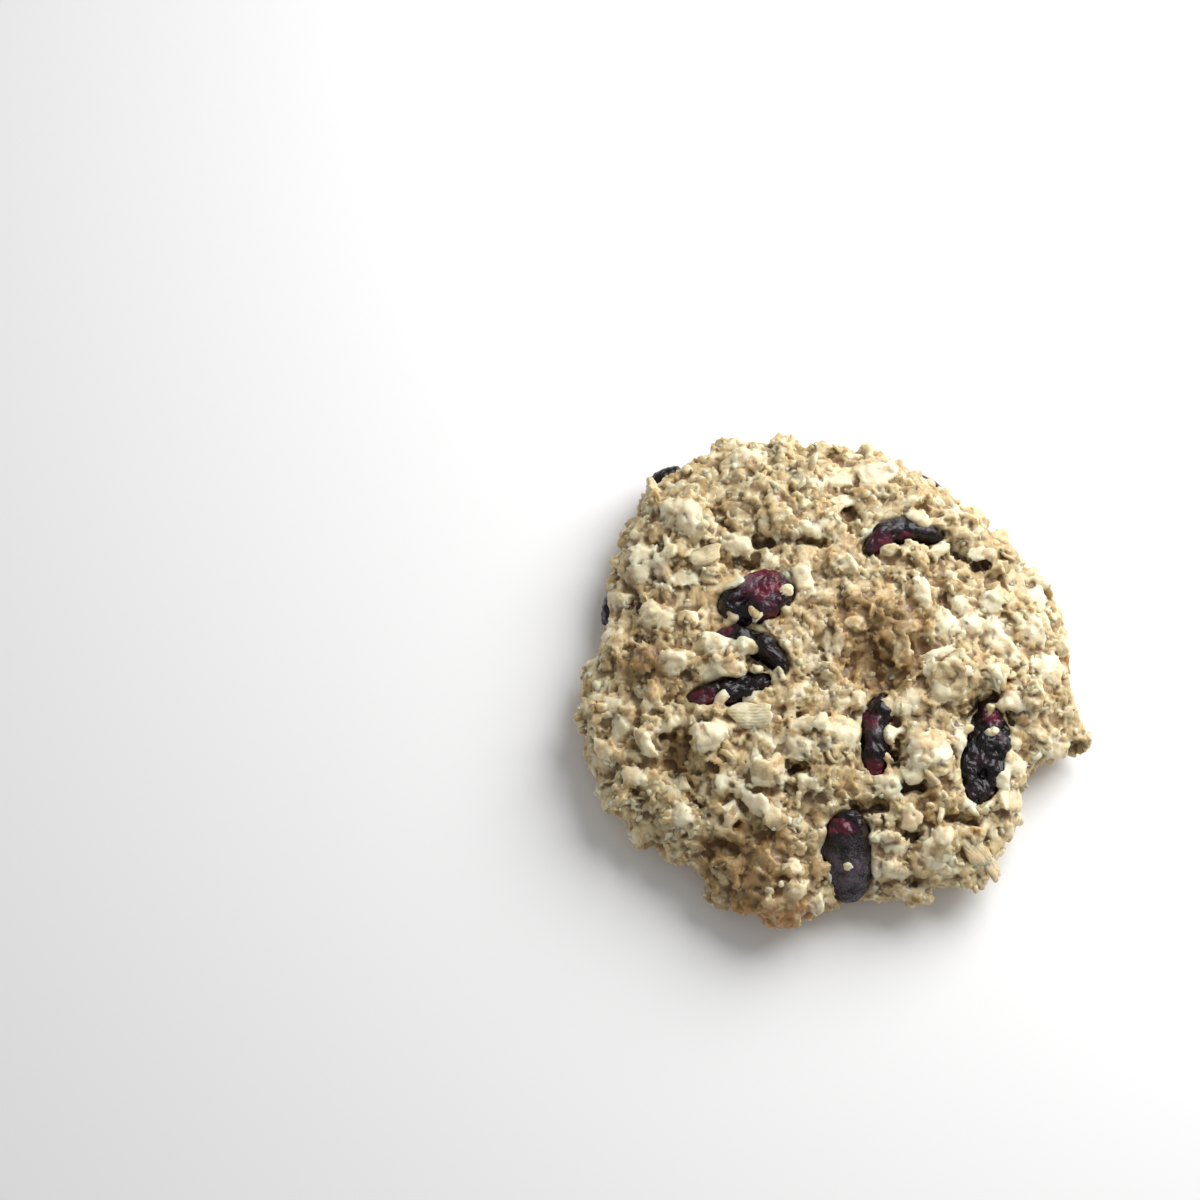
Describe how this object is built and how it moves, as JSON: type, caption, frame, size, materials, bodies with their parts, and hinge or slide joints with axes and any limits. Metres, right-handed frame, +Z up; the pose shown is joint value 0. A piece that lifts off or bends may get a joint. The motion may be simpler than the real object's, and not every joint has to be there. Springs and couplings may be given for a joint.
{
  "type": "oatmeal cranberry cookie",
  "caption": "Round domed oatmeal cookie with a flat base, rolled oat flakes standing up from the crust and dried cranberries set in the dough.",
  "frame": {"origin": "middle of the flat base, at the centre of the cookie's box", "axes": "+Z up through the crown, +Y from the front to the back, +X to the right"},
  "size_m": [0.0744, 0.0756, 0.0163],
  "materials": {
    "baked_oats": "baked oat dough: cream oat flakes over tan-brown, slightly moist, grainy crumb, toasted at the rim and under the base",
    "dried_fruit": "dried cranberry: near-black maroon, purple-red where thin, wrinkled, sticky gloss"
  },
  "bodies": {
    "root": {"cookie": "baked_oats", "cranberry_back_right": "dried_fruit", "cranberry_back_left": "dried_fruit", "cranberry_middle_left": "dried_fruit", "cranberry_front_left": "dried_fruit", "cranberry_middle": "dried_fruit", "cranberry_right": "dried_fruit", "cranberry_front": "dried_fruit", "cranberry_far_right": "dried_fruit", "cranberry_left_side": "dried_fruit", "cranberry_back_left_side": "dried_fruit", "cranberry_back_side": "dried_fruit", "cranberry_base_left": "dried_fruit", "cranberry_base_right": "dried_fruit"}
  },
  "joints": []
}
